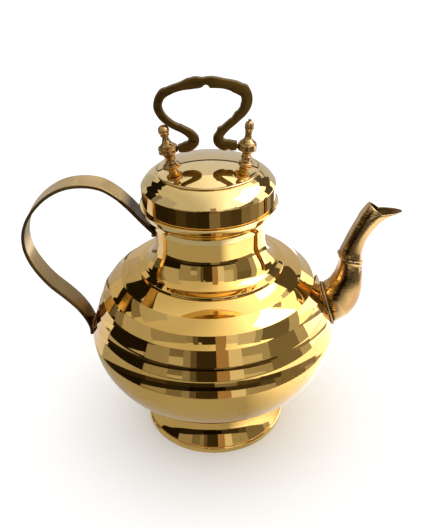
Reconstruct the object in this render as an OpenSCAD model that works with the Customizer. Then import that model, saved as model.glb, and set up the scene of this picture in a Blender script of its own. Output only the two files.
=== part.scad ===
// Spouted brass kalash kettle with a strap side handle, a cast spout and a
// lift-off domed lid. The lid carries two turned posts that hold a swinging
// cast bail.
//
// Frame: millimetres, +Z up, the foot rests on z = 0 and the pot's turned
// axis is the Z axis. The spout points to +X and the side handle to -X.

/* [Belly] */
// Largest radius of the belly, at the seam between its two halves
belly_r = 87.5; // [86:0.5:89]
// Height of the seam above the rest plane
seam_z = 83.8; // [82:0.2:86]
// Thickness of the spun sheet
sheet = 1.2; // [0.8:0.1:1.6]
// Depth of the hollow in each turned shoulder band
band_hollow = 0.35; // [0.1:0.05:0.6]
// Radius of the pour hole behind the spout
pour_hole_r = 8; // [5:0.5:9]

/* [Foot] */
// Outer radius of the foot's lip
foot_r = 52.8; // [51:0.2:55]
// Height of the foot's lip band
foot_lip_h = 4.4; // [3:0.2:6]
// Width of the flat rest face
foot_rest_w = 4; // [3:0.5:6]

/* [Neck and mouth] */
// Outer radius of the straight neck
neck_r = 37.6; // [37:0.2:38.5]
// Outer radius of the collar where it lies on the shoulder
collar_r = 51; // [50:0.5:52]
// Height where the neck's flare ends and its straight part begins
neck_start_z = 155; // [152:1:157]
// Height of the top face of the mouth rim
mouth_z = 180.8; // [180:0.2:182]
// Outer radius of the mouth rim
mouth_rim_r = 46.2; // [45.5:0.1:47]
// Height where the mouth ring's cove starts on the neck
cove_start_z = 167; // [165:0.5:170]

/* [Side handle] */
// Width of the handle's strap
strap_w = 18; // [15:0.5:20]
// Thickness of the handle's strap
strap_t = 2; // [1.6:0.1:2.4]

/* [Spout] */
// Wall thickness of the cast spout
spout_wall = 1.8; // [1.4:0.1:2]
// Half the height of the spout's base on the belly
spout_base_half_h = 15.8; // [15:0.2:17]
// Half the width of the spout's base on the belly
spout_base_half_w = 12.5; // [11:0.5:13]

/* [Lid] */
// Outer radius of the lid's upright band
lid_r = 44.2; // [43.8:0.1:44.6]
// Height of the lid's upright band
lid_band_h = 12.3; // [11:0.1:13]
// Rise of the domed top above the band
lid_dome_h = 9.1; // [8:0.1:10]
// Radius of the raised disc on the dome
lid_disc_r = 34; // [33.5:0.1:35]
// Rise of the crowned middle of the dome and of its disc
crown_h = 4.4; // [3.6:0.1:4.6]
// Radial play between the lid's collar and the neck's inside
lid_play = 0.5; // [0.3:0.1:0.8]

/* [Posts and bail] */
// Distance of the left post's foot from the axis
left_post_x = 23.2; // [22:0.2:24]
// Outward lean of the left post in degrees
left_post_lean = 9; // [6:1:10]
// Distance of the right post's foot from the axis
right_post_x = 24.6; // [24:0.2:25]
// Outward lean of the right post in degrees
right_post_lean = 5.5; // [3:0.5:8]
// Height of the bail's hinge axis
hinge_z = 217.3; // [216.5:0.1:218]
// Radius of the bail's hinge pins
pin_r = 1.5; // [1.3:0.1:1.7]
// Radial running play of the hinge pins
pin_play = 0.08; // [0.04:0.01:0.1]
// Thickness of the cast bail
bail_t = 4.2; // [3.6:0.2:4.6]

/* [Hidden] */

turned_fn = 192;
small_fn = 48;

brass = "#c79b45";
old_brass = "#6f4f1c";
satin_brass = "#b48a3c";
solder = "#d8c68a";

// Lower bowl: a quarter of an ellipse that starts upright at the seam.
bowl_flat_r = 20;
bowl_drop = 57;
bowl_bottom_z = seam_z - bowl_drop;
bowl_steps = 20;
foot_wall = 1.6;

// Arrises between the turned bands of the shoulder, from the seam upwards,
// each as [radius, height].
collar_z = 133;
band_edges = [
    [belly_r, seam_z], [84.2, 95.4], [81.3, 104], [77.4, 114],
    [72.1, 121.2], [63.4, 128.1], [collar_r, collar_z],
];
// The shoulder runs on under the collar to the neck hole.
neck_hole = [40, 137.35];
band_steps = 4;

collar_edge_h = 2.4;
flare_a = 12;
flare_b = 19;
mouth_rim_h = 4.3;
neck_inner_r = neck_r - sheet;

// Strap centreline from the neck to the belly, in the XZ plane.
strap_route = [
    [-36.6, 160], [-40.8, 164.6], [-46.3, 171.3], [-53.5, 180.4], [-61, 188.2],
    [-70.2, 194.2], [-81.5, 196.4], [-93.3, 195.2], [-104.1, 190.4],
    [-113.5, 182.7], [-120.9, 173.1], [-125.2, 162.3], [-125.9, 151.5],
    [-123.6, 141.2], [-118.8, 130.9], [-112.2, 121], [-103.6, 111.5],
    [-96, 102], [-91, 92.6], [-88.8, 85.4], [-88.8, 79.4],
];
strap_inner_x = -88.8 + strap_t / 2;

// Spout stations from the belly to the beak:
// [x, z, in-plane half depth, half width, direction of the front in degrees].
// The first lies inside the belly and only steers the curve.
root_stations = [
    [85.5, 95.4, 15.6, 12.6, -72],
    [92.5, 100, 14.6, 12.3, -58], [96.9, 108, 13.8, 11.8, -50],
    [98.9, 117, 12, 10.8, -41], [99, 125.4, 9.8, 9.6, -30],
    [98.3, 130.4, 8.7, 8.7, -22], [98.2, 131.2, 9.5, 9.5, -20],
    [98, 134, 9.3, 9.3, -15],
];
beak_stations = [
    [98, 134, 8.1, 8.1, -15], [98.8, 139.5, 7.3, 7.3, -8],
    [101.5, 148.4, 6.5, 6.9, -10], [105.7, 156.9, 6.7, 6.9, -17],
    [109.5, 163.2, 7.6, 7, -22],
];
beak_notch = [115.5, 168];
beak_tip_x = 130.6;
beak_apex = [107.3, 174];
spout_base_z = 94.6;
spout_sides = 32;
spout_square = 0.8;
bore_r = 6.3;

lid_seat_gap = 0.2;
lid_z = mouth_z + lid_seat_gap;
lid_band_top = lid_z + lid_band_h;
lid_top = lid_band_top + lid_dome_h;
lid_collar_depth = 16;
lid_disc_t = 1;
dome_edge_r = lid_r + 0.3;
dome_a = 11.4;
crown_base_r = dome_edge_r - dome_a;
crown_ball_r = (pow(crown_base_r, 2) + pow(crown_h, 2)) / (2 * crown_h);
crown_steps = 10;
// The dome's shoulder is a round arc that runs smoothly into the crown. Its
// ends are given by the direction of the surface there, in degrees.
dome_end = 90 - asin(crown_base_r / crown_ball_r);
dome_start = 2 * atan2(dome_a, lid_dome_h) - dome_end;
dome_arc_r = norm([dome_a, lid_dome_h]) / (2 * sin((dome_end - dome_start) / 2));
dome_centre = [
    dome_edge_r - dome_arc_r * cos(dome_start),
    lid_band_top - dome_arc_r * sin(dome_start),
];
dome_steps = 8;

washer_r = 4;
washer_t = 1.1;
washer_play = 0.5;
rivet_r = 1.5;
rivet_head_r = 2.6;
rivet_head_t = 1;
fit_gap = 0.05;

bail_left_end_x = -18.2;
bail_right_end_x = 18.9;
// Bail centreline from the left pin to the right pin: [x, z, width].
bail_route = [
    [bail_left_end_x, 217.3, 4.4], [-15, 217.7, 5.6], [-11, 218.8, 6.4],
    [-8.1, 222.2, 6.8], [-10, 226.3, 5.4], [-15, 229.8, 4.4], [-21.2, 233, 4.2],
    [-27, 238.3, 4.8], [-29.6, 244.9, 5.4], [-27.3, 251.3, 5.4],
    [-21.8, 254.6, 4.8], [-15.4, 256.7, 4.8], [-8.5, 258.4, 6.6],
    [-4, 259, 6.8], [0.4, 259.4, 5.4], [5, 258.8, 6.6], [12, 257.6, 5.8],
    [19, 255.4, 6.8], [24.4, 251.6, 7.2], [25.5, 246.3, 6.6],
    [23.3, 240.8, 5.8], [18.3, 235.5, 5], [12.2, 230.1, 4.8],
    [8.2, 225.8, 5.6], [7.3, 222, 6.6], [10.4, 219, 6.8], [14.6, 218.4, 6.4],
    [bail_right_end_x, 217.9, 5.4],
];
curve_steps = 4;

// ---- outlines -------------------------------------------------------------

function reversed(path) = [for (i = [len(path) - 1:-1:0]) path[i]];

function arc(centre, a, b, from, to, n) = [
    for (i = [0:n])
        let (t = from + (to - from) * i / n)
        centre + [a * cos(t), b * sin(t)]
];

// Unit normal on the right-hand side of the step from p to q.
function right_of(p, q) = let (d = q - p) [d[1], -d[0]] / norm(d);

// A path moved sideways by t, without its two end points.
function moved(path, t) = [
    for (i = [1:len(path) - 2]) path[i] + t * right_of(path[i - 1], path[i + 1])
];

// The hollow band from p to q, without p.
function hollow_band(p, q) = [
    for (i = [1:band_steps])
        let (k = i / band_steps)
        p + (q - p) * k - 4 * band_hollow * k * (1 - k) * right_of(p, q)
];

// A smooth curve through points of any length, closed or not at its ends.
function smooth_at(a, b, c, d, k) =
    0.5 * (2 * b + (c - a) * k + (2 * a - 5 * b + 4 * c - d) * k * k
        + (3 * b - a - 3 * c + d) * k * k * k);

function smooth_path(pts, n) = let (last = len(pts) - 1) concat(
    [for (i = [0:last - 1], j = [0:n - 1])
        smooth_at(pts[max(i - 1, 0)], pts[i], pts[i + 1],
            pts[min(i + 2, last)], j / n)],
    [pts[last]]
);

// Height of the lower bowl's outside at radius r.
function bowl_z(r) =
    seam_z - bowl_drop * sqrt(1 - pow((r - bowl_flat_r) / (belly_r - bowl_flat_r), 2));

// Outer radius of the belly at height z, taken along the band chords.
function belly_radius(z) =
    z <= seam_z
        ? bowl_flat_r + (belly_r - bowl_flat_r)
            * sqrt(1 - pow((seam_z - z) / bowl_drop, 2))
        : lookup(z, [for (p = band_edges) [p[1], p[0]]]);

// Height of the dome's crowned middle at radius r.
function crown_z(r) =
    lid_top + crown_h - crown_ball_r + sqrt(pow(crown_ball_r, 2) - pow(r, 2));

// Points of the crown from its edge to the axis.
function crown() = [
    for (i = [0:crown_steps])
        let (r = crown_base_r * (1 - i / crown_steps))
        [r, crown_z(r)]
];

// Slope of the crown at distance x from the axis, in degrees.
function crown_slope(x) = asin(x / crown_ball_r);

module lathe(outline) {
    rotate_extrude($fn = turned_fn) polygon(outline);
}

// Extrudes an XZ outline to a slab of the given width, centred on y = 0.
module slab(width) {
    rotate([90, 0, 0])
        linear_extrude(height = width, center = true) children();
}

// ---- pot ------------------------------------------------------------------

// The foot flares from its top under the bowl down to its lip.
module foot_ring() {
    top_outer_r = 42;
    top_inner_r = top_outer_r - foot_wall;
    flare = [[foot_r - 1.5, foot_lip_h], [48.6, 9], [46, 14.5], [43.8, 20.5], [42.2, 26]];
    inner_flare = reversed(moved(flare, -foot_wall));
    color(brass) lathe(concat(
        [
            [foot_r - foot_rest_w, 0], [foot_r, 0], [foot_r, foot_lip_h - 0.8],
            [foot_r - 0.8, foot_lip_h],
        ],
        flare,
        [
            [top_outer_r, bowl_z(top_outer_r) - fit_gap],
            [top_inner_r, bowl_z(top_inner_r) - fit_gap],
            [top_inner_r, 26],
        ],
        inner_flare,
        [[foot_r - foot_rest_w, foot_lip_h]]
    ));
}

module lower_bowl() {
    outside = concat(
        [[0, bowl_bottom_z]],
        arc([bowl_flat_r, seam_z], belly_r - bowl_flat_r, bowl_drop, -90, 0, bowl_steps)
    );
    inside = concat(
        [[0, bowl_bottom_z + sheet]],
        moved(outside, -sheet),
        [[belly_r - sheet, seam_z]]
    );
    color(brass) lathe(concat(outside, reversed(inside)));
}

module upper_bowl() {
    edges = concat(band_edges, [neck_hole]);
    last = len(band_edges) - 1;
    outside = concat(
        [edges[0]],
        [for (i = [0:last - 1]) each hollow_band(edges[i], edges[i + 1])],
        [neck_hole]
    );
    inside = concat(
        [[belly_r - sheet, seam_z]],
        moved(outside, -sheet),
        [neck_hole - sheet * right_of(edges[last], neck_hole)]
    );
    color(brass) difference() {
        lathe(concat(outside, reversed(inside)));
        translate([belly_r / 2, 0, spout_base_z])
            rotate([0, 90, 0]) cylinder(r = pour_hole_r, h = belly_r, $fn = small_fn);
    }
}

module neck() {
    flare_centre = [neck_r + flare_a, neck_start_z];
    flare = arc(flare_centre, flare_a, flare_b, 262, 180, 10);
    outside = concat(
        [[collar_r, collar_z], [collar_r - 0.2, collar_z + collar_edge_h]],
        flare,
        [[neck_r, mouth_z]]
    );
    inner_flare = [for (p = moved(outside, -sheet)) if (p[1] > neck_hole[1] + 1) p];
    inside = concat([neck_hole], inner_flare, [[neck_inner_r, mouth_z]]);
    color(brass) lathe(concat(outside, reversed(inside)));
}

module mouth_rim() {
    low = mouth_z - mouth_rim_h;
    step_r = neck_r + 1.1;
    edge_r = mouth_rim_r - 1.3;
    color(brass) lathe(concat(
        [[neck_r, cove_start_z - 1.4], [step_r, cove_start_z - 0.6]],
        arc([edge_r, cove_start_z], edge_r - step_r, low - cove_start_z, 180, 90, 6),
        [
            [mouth_rim_r, mouth_z - 0.5], [mouth_rim_r - 0.4, mouth_z],
            [neck_r, mouth_z],
        ]
    ));
}

// ---- side handle ----------------------------------------------------------

module side_handle() {
    middle = smooth_path(strap_route, curve_steps);
    last = len(middle) - 1;
    half = strap_t / 2;
    ends = [
        half * right_of(middle[0], middle[1]),
        half * right_of(middle[last - 1], middle[last]),
    ];
    right_side = concat([middle[0] + ends[0]], moved(middle, half), [middle[last] + ends[1]]);
    left_side = concat([middle[0] - ends[0]], moved(middle, -half), [middle[last] - ends[1]]);
    color(satin_brass) difference() {
        slab(strap_w) polygon(concat(right_side, reversed(left_side)));
        translate([0, 0, neck_start_z])
            cylinder(r = neck_r + fit_gap, h = mouth_z - neck_start_z, $fn = turned_fn);
    }
}

module handle_solder() {
    pad_h = 6;
    pad_t = 1.4;
    pad_w = strap_w - 1;
    fillet_r = 1.5;
    fillet_w = strap_w - 2;
    fillet_z = 158.4;
    color(solder) {
        // Pad between the strap's lower end and the belly.
        difference() {
            translate([strap_inner_x + fit_gap, -pad_w / 2, seam_z - pad_h / 2])
                cube([pad_t, pad_w, pad_h]);
            cylinder(r = belly_r + fit_gap, h = 2 * seam_z, $fn = turned_fn);
        }
        // Fillet under the strap's upper end.
        difference() {
            translate([-neck_r - 0.6, 0, fillet_z])
                rotate([90, 0, 0])
                    cylinder(r = fillet_r, h = fillet_w, center = true, $fn = small_fn);
            cylinder(r = neck_r + fit_gap, h = mouth_z, $fn = turned_fn);
        }
    }
}

// ---- spout ----------------------------------------------------------------

function signed_power(v, p) = sign(v) * pow(abs(v), p);

// One cross-section of the spout as a ring of points. Angle 0 is the front.
function spout_ring(s, wall) = [
    for (i = [0:spout_sides - 1])
        let (
            t = 360 * i / spout_sides,
            u = (s[2] - wall) * signed_power(cos(t), spout_square),
            v = (s[3] - wall) * signed_power(sin(t), spout_square)
        )
        [s[0] + u * cos(s[4]), v, s[1] + u * sin(s[4])]
];

// The ring where the spout meets the belly, laid on the belly's surface.
function base_ring(wall) = [
    for (i = [0:spout_sides - 1])
        let (
            t = 360 * i / spout_sides,
            z = spout_base_z - (spout_base_half_h - wall) * cos(t),
            y = (spout_base_half_w - wall) * sin(t)
        )
        [sqrt(pow(belly_radius(z) + fit_gap, 2) - y * y), y, z]
];

// The lip of the beak: level from the notch to the tip, rising to the apex.
function lip_ring(wall) = [
    for (i = [0:spout_sides - 1])
        let (
            t = 360 * i / spout_sides,
            c = cos(t),
            front = c > 0,
            reach = (front ? beak_tip_x - beak_notch[0] : beak_notch[0] - beak_apex[0]) - wall,
            rise = front ? 0 : (beak_apex[1] - beak_notch[1]) * -c,
            half_w = beak_stations[4][3] - wall
        )
        [
            beak_notch[0] + reach * (front ? pow(c, 1.3) : c),
            half_w * signed_power(sin(t), front ? 0.95 : 0.6),
            beak_notch[1] + rise,
        ]
];

// A pipe between an outer and an inner list of rings.
module pipe(outer, inner) {
    n = spout_sides;
    rows = len(outer);
    skin = rows * n;
    points = concat([for (r = outer) each r], [for (r = inner) each r]);
    outer_faces = [
        for (r = [0:rows - 2], i = [0:n - 1])
            let (a = r * n + i, b = r * n + (i + 1) % n)
            each [[a, b + n, b], [a, a + n, b + n]]
    ];
    inner_faces = [for (f = outer_faces) [f[2] + skin, f[1] + skin, f[0] + skin]];
    first_cap = [
        for (i = [0:n - 1])
            let (j = (i + 1) % n)
            each [[j, skin + i, i], [j, skin + j, skin + i]]
    ];
    top = (rows - 1) * n;
    last_cap = [
        for (i = [0:n - 1])
            let (a = top + i, b = top + (i + 1) % n)
            each [[a, skin + b, b], [a, skin + a, skin + b]]
    ];
    polyhedron(points, concat(outer_faces, inner_faces, first_cap, last_cap));
}

module spout_root() {
    steps = 3;
    curve = smooth_path([for (i = [0:5]) root_stations[i]], steps);
    stations = [for (i = [steps - 1:len(curve) - 1]) curve[i]];
    all_stations = concat(stations, [root_stations[6], root_stations[7]]);
    bore_end = root_stations[7];
    outer = concat([base_ring(0)], [for (s = all_stations) spout_ring(s, 0)]);
    inner = concat(
        [base_ring(spout_wall)],
        [for (s = stations) spout_ring(s, spout_wall)],
        [
            spout_ring([bore_end[0], bore_end[1] - 2.8, bore_r, bore_r, -20], 0),
            spout_ring([bore_end[0], bore_end[1], bore_r, bore_r, bore_end[4]], 0),
        ]
    );
    color(satin_brass) pipe(outer, inner);
}

module spout_beak() {
    first = beak_stations[0];
    raised = [first[0], first[1] + fit_gap, first[2], first[3], first[4]];
    stations = smooth_path(concat([raised], [for (i = [1:4]) beak_stations[i]]), 3);
    outer = concat([for (s = stations) spout_ring(s, 0)], [lip_ring(0)]);
    inner = concat([for (s = stations) spout_ring(s, spout_wall)], [lip_ring(spout_wall)]);
    color(satin_brass) pipe(outer, inner);
}

// A round bead of solder that follows the edge of the spout's base.
module spout_solder() {
    bead_r = 0.9;
    n = spout_sides;
    sides = 8;
    path = [
        for (p = base_ring(-0.5))
            let (away = [p[0], p[1], 0] / norm([p[0], p[1]]))
            p + away * 0.45
    ];
    points = [
        for (i = [0:n - 1])
            let (
                ahead = path[(i + 1) % n] - path[(i + n - 1) % n],
                along = ahead / norm(ahead),
                out = [path[i][0], path[i][1], 0] / norm([path[i][0], path[i][1]]),
                side = cross(along, out),
                up = cross(side, along)
            )
            each [
                for (j = [0:sides - 1])
                    let (t = 360 * j / sides)
                    path[i] + bead_r * (cos(t) * side / norm(side) + sin(t) * up / norm(up))
            ]
    ];
    faces = [
        for (i = [0:n - 1], j = [0:sides - 1])
            let (
                a = i * sides + j,
                b = i * sides + (j + 1) % sides,
                c = ((i + 1) % n) * sides + (j + 1) % sides,
                d = ((i + 1) % n) * sides + j
            )
            each [[a, b, c], [a, c, d]]
    ];
    color(solder) polyhedron(points, faces);
}

// ---- lid ------------------------------------------------------------------

module lid_collar() {
    r = neck_inner_r - lid_play;
    color(brass) lathe([
        [r - sheet, lid_z - lid_collar_depth], [r, lid_z - lid_collar_depth],
        [r, lid_z], [lid_r - sheet - fit_gap, lid_z],
        [lid_r - sheet - fit_gap, lid_z + sheet], [r - sheet, lid_z + sheet],
    ]);
}

module lid_band() {
    color(brass) lathe([
        [lid_r - sheet, lid_z], [lid_r, lid_z],
        [lid_r, lid_band_top], [lid_r - sheet, lid_band_top],
    ]);
}

module lid_dome() {
    shoulder = arc(dome_centre, dome_arc_r, dome_arc_r, dome_start, dome_end, dome_steps);
    outside = concat([for (i = [0:dome_steps - 1]) shoulder[i]], crown());
    inside = concat(
        [[dome_edge_r - sheet, lid_band_top]],
        moved(outside, -sheet),
        [[0, crown_z(0) - sheet]]
    );
    color(brass) difference() {
        lathe(concat(outside, reversed(inside)));
        rivet_holes();
    }
}

module lid_disc() {
    edge_top = lid_top + lid_disc_t;
    color(brass) difference() {
        lathe(concat(
            [[lid_disc_r, lid_top], [lid_disc_r, edge_top - 0.3], [lid_disc_r - 0.3, edge_top]],
            [for (p = crown()) p + [0, lid_disc_t]],
            reversed([for (p = crown()) p + [0, fit_gap]])
        ));
        rivet_holes();
    }
}

// Places its children on the top of the lid at x, leaning outwards.
module on_crown(x, lean, depth = 0) {
    translate([x, 0, crown_z(x) + lid_disc_t]) rotate([0, lean, 0])
        translate([0, 0, -depth]) children();
}

module rivet_holes() {
    depth = 4 * sheet;
    for (p = [[-left_post_x, -left_post_lean], [right_post_x, right_post_lean]])
        on_crown(p[0], p[1], depth)
            cylinder(r = rivet_r + fit_gap, h = 2 * depth, $fn = small_fn);
}

// Depth of a washer's lower face under the top of the lid.
washer_depth = lid_disc_t + sheet + 2 * fit_gap + washer_t;

module post_washers() {
    color(brass) for (x = [-left_post_x, right_post_x])
        on_crown(x, crown_slope(x), washer_depth) difference() {
            cylinder(r = washer_r, h = washer_t, $fn = small_fn);
            translate([0, 0, -washer_t])
                cylinder(r = rivet_r + washer_play, h = 3 * washer_t, $fn = small_fn);
        }
}

// ---- posts and bail -------------------------------------------------------

// Height of the hinge axis above the foot of a post at distance x.
function stem_h(x) = hinge_z - crown_z(x) - lid_disc_t;

// A turned post: an outline on a leaning axis with its foot cut to the lid's
// crown, a rivet tail through the lid and a cross hole for the bail's pin.
module post(x, lean, outline) {
    tail_top = 1;
    head_depth = washer_depth + fit_gap + rivet_head_t;
    color(old_brass) difference() {
        union() {
            difference() {
                on_crown(x, lean) rotate_extrude($fn = small_fn) polygon(outline);
                translate([0, 0, crown_z(0) - crown_ball_r])
                    sphere(r = crown_ball_r + lid_disc_t + fit_gap, $fn = turned_fn);
            }
            on_crown(x, lean, head_depth - rivet_head_t / 2)
                cylinder(r = rivet_r, h = head_depth + tail_top, $fn = small_fn);
            on_crown(x, crown_slope(x), head_depth)
                cylinder(r = rivet_head_r, h = rivet_head_t, $fn = small_fn);
        }
        translate([x - 20, 0, hinge_z]) rotate([0, 90, 0])
            cylinder(r = pin_r + pin_play, h = 40, $fn = small_fn);
    }
}

module left_post() {
    h = stem_h(left_post_x);
    ball_r = 3.7;
    ball_h = h + 12.3;
    post(-left_post_x, -left_post_lean, concat(
        [[0, -2], [6, -2], [6, 0.7], [4.6, 1.7], [3.6, 2.6], [3.3, 4.4], [3.5, 7],
         [4.7, h - 3.1], [6.4, h - 2.2], [6.4, h + 1.6],
         [4.8, h + 2.6], [3.2, h + 4], [2.3, h + 6.4],
         [2.1, h + 8.4], [2.3, h + 9.2]],
        arc([0, ball_h], ball_r, ball_r, -50, 90, 9)
    ));
}

module right_post() {
    h = stem_h(right_post_x);
    bud_h = h + 12.9;
    post(right_post_x, right_post_lean, concat(
        [[0, -2], [4.9, -2], [4.9, 0.8], [4, 1.8], [2.9, 2.6], [2.7, 4.6], [2.9, 7.4],
         [4.4, h - 3], [6.1, h - 2.4], [6.1, h + 2],
         [5.2, h + 3.1], [3, h + 4.8], [2.2, h + 6.6],
         [2.2, h + 8.6]],
        arc([0, bud_h], 3.1, 4, -40, 78, 8),
        [[0.6, bud_h + 4.1], [0.6, bud_h + 4.7], [0, bud_h + 5]]
    ));
}

module bail() {
    route = smooth_path(bail_route, curve_steps);
    last = len(route) - 1;
    middle = [for (p = route) [p[0], p[1]]];
    side = function (s) [
        for (i = [0:last])
            middle[i] + s * route[i][2] / 2
                * right_of(middle[max(i - 1, 0)], middle[min(i + 1, last)])
    ];
    pin_reach = 12.8;
    overlap = 1;
    color(old_brass) {
        slab(bail_t) polygon(concat(side(1), reversed(side(-1))));
        translate([bail_left_end_x - pin_reach, 0, hinge_z]) rotate([0, 90, 0])
            cylinder(r = pin_r, h = pin_reach + overlap, $fn = small_fn);
        translate([bail_right_end_x - overlap, 0, hinge_z]) rotate([0, 90, 0])
            cylinder(r = pin_r, h = pin_reach + overlap, $fn = small_fn);
    }
}

foot_ring();
lower_bowl();
upper_bowl();
neck();
mouth_rim();
side_handle();
handle_solder();
spout_root();
spout_beak();
spout_solder();
lid_collar();
lid_band();
lid_dome();
lid_disc();
left_post();
right_post();
post_washers();
bail();
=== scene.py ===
"""Looks of the spouted brass kettle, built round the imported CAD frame.

Outlines and stations are in millimetres in the frame's axes: +Z up, +X to the
spout, the pot's turned axis on Z. Meshes are made in metres.
"""

import math

import bmesh
import bpy
import numpy as np
from mathutils import Matrix, Vector


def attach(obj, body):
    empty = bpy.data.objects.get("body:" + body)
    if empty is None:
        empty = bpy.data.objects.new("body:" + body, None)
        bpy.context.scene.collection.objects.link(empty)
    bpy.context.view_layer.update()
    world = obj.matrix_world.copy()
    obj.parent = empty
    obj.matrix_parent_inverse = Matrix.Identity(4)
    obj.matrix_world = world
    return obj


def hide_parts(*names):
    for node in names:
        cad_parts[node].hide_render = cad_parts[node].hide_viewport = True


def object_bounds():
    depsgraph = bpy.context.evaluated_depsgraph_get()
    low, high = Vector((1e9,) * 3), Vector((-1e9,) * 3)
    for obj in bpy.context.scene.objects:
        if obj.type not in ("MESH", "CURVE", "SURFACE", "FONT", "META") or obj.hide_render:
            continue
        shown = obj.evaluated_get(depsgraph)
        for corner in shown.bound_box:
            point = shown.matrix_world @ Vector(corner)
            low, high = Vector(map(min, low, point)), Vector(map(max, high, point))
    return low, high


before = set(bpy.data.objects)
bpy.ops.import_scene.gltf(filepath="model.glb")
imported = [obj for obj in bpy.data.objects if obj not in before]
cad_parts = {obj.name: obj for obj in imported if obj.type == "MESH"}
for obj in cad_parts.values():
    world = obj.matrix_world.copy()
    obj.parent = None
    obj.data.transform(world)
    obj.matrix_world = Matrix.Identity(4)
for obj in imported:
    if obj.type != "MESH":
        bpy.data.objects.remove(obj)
cad_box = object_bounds()

MM = 0.001
ROUND = 288


# ---- plane curves ----------------------------------------------------------


def vec(*p):
    return np.array(p, float)


def right_of(p, q):
    """Unit normal on the right-hand side of the step from p to q."""
    d = q - p
    return vec(d[1], -d[0]) / np.hypot(*d)


def arc(centre, a, b, start, end, n):
    """n + 1 points on an ellipse with half axes a and b, angles in degrees."""
    turns = np.radians(np.linspace(start, end, n + 1))
    return [vec(centre[0] + a * math.cos(t), centre[1] + b * math.sin(t)) for t in turns]


def smooth_path(points, n):
    """A Catmull-Rom curve with n steps between one point and the next."""
    pts = [vec(*p) for p in points]
    last = len(pts) - 1
    curve = []
    for i in range(last):
        a, b, c, d = pts[max(i - 1, 0)], pts[i], pts[i + 1], pts[min(i + 2, last)]
        for j in range(n):
            k = j / n
            curve.append(0.5 * (2 * b + (c - a) * k + (2 * a - 5 * b + 4 * c - d) * k * k
                                + (3 * b - a - 3 * c + d) * k ** 3))
    return curve + [pts[last]]


def moved(path, t):
    """The path moved sideways by t, without its end points."""
    return [path[i] + t * right_of(path[i - 1], path[i + 1]) for i in range(1, len(path) - 1)]


def rounded(outline, radius, steps=4):
    """The closed outline with each corner sharper than 20 degrees rounded off."""
    n = len(outline)
    result = []
    for i in range(n):
        p, q, r = outline[i - 1], outline[i], outline[(i + 1) % n]
        to_p, to_r = p - q, r - q
        len_p, len_r = np.hypot(*to_p), np.hypot(*to_r)
        cos_in = np.clip(np.dot(to_p, to_r) / (len_p * len_r), -1, 1)
        turn = math.pi - math.acos(cos_in)
        if q[0] < 1e-6 or math.degrees(turn) < 20:
            result.append(q)
            continue
        reach = min(radius * math.tan(turn / 2), 0.45 * len_p, 0.45 * len_r)
        start, end = q + to_p / len_p * reach, q + to_r / len_r * reach
        for k in np.linspace(0, 1, steps + 1):
            result.append((1 - k) ** 2 * start + 2 * k * (1 - k) * q + k * k * end)
    return result


def dense(outline, step):
    """The closed outline with no side longer than step."""
    result = []
    for i, p in enumerate(outline):
        q = outline[(i + 1) % len(outline)]
        n = max(1, math.ceil(np.hypot(*(q - p)) / step))
        result += [p + (q - p) * k / n for k in range(n)]
    return result


# ---- meshes ----------------------------------------------------------------


def new_piece(name, verts_mm, faces, body, nodes, material):
    """A smooth piece in metres that rides on a body and replaces CAD nodes."""
    mesh = bpy.data.meshes.new(name)
    mesh.from_pydata([tuple(c * MM for c in v) for v in verts_mm], [], faces)
    bm = bmesh.new()
    bm.from_mesh(mesh)
    bmesh.ops.remove_doubles(bm, verts=bm.verts, dist=1e-8)
    bmesh.ops.recalc_face_normals(bm, faces=bm.faces)
    bm.to_mesh(mesh)
    bm.free()
    mesh.shade_smooth()
    piece = bpy.data.objects.new(name, mesh)
    bpy.context.scene.collection.objects.link(piece)
    mesh.materials.append(material)
    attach(piece, body)
    if nodes:
        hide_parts(*nodes)
    return piece


def mark_edges(piece, spread=2):
    """Stores how much each point stands out (wear) and how much it lies in a corner, where shade is painted
    along with the dust that gathers there.
    """
    mesh = piece.data
    count = len(mesh.vertices)
    pos = np.empty(count * 3)
    mesh.vertices.foreach_get("co", pos)
    pos = pos.reshape(-1, 3)
    normal = np.array([v.vector for v in mesh.vertex_normals])
    pairs = np.empty(len(mesh.edges) * 2, int)
    mesh.edges.foreach_get("vertices", pairs)
    a, b = pairs.reshape(-1, 2).T

    def around(values):
        total = np.zeros_like(values)
        np.add.at(total, a, values[b])
        np.add.at(total, b, values[a])
        return total

    degree = np.maximum(around(np.ones(count)), 1)
    length = np.linalg.norm(pos[a] - pos[b], axis=1)
    mean_length = np.zeros(count)
    np.add.at(mean_length, a, length)
    np.add.at(mean_length, b, length)
    mean_length /= degree
    offset = around(pos) / degree[:, None] - pos
    hollow = (offset * normal).sum(1) / np.maximum(mean_length, 1e-9)
    for _ in range(spread):
        hollow = (hollow + around(hollow) / degree) / 2
    for label, value in (("wear", -hollow), ("dirt_and_crevice_shade", hollow)):
        layer = mesh.attributes.new(label, "FLOAT", "POINT")
        layer.data.foreach_set("value", np.clip(value * 8, 0, 1).astype(np.float32))


def store_shade_and_stains(piece, amount):
    """Stores how dark each point is painted, with painted shade, painted dark reflections and stains. amount
    is a function of the point in mm.
    """
    layer = piece.data.attributes.new("tarnish_and_shade", "FLOAT", "POINT")
    layer.data.foreach_set("value", [amount(v.co / MM) for v in piece.data.vertices])


def revolve(outline, segments=ROUND, wobble=0.0, waves=3):
    """Vertices and faces of the closed (r, z) outline turned about Z."""
    verts, faces, rows = [], [], []
    for r, z in outline:
        if r < 1e-6:
            rows.append([len(verts)] * segments)
            verts.append((0, 0, z))
            continue
        first = len(verts)
        rows.append([first + i for i in range(segments)])
        for i in range(segments):
            t = 2 * math.pi * i / segments
            r_here = r - wobble * (1 + math.sin(waves * t + 0.7)) * min(1, r / 60)
            verts.append((r_here * math.cos(t), r_here * math.sin(t), z))
    for low, high in zip(rows, rows[1:] + rows[:1]):
        for i in range(segments):
            j = (i + 1) % segments
            face = list(dict.fromkeys((low[i], low[j], high[j], high[i])))
            if len(face) > 2:
                faces.append(face)
    return verts, faces


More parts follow.
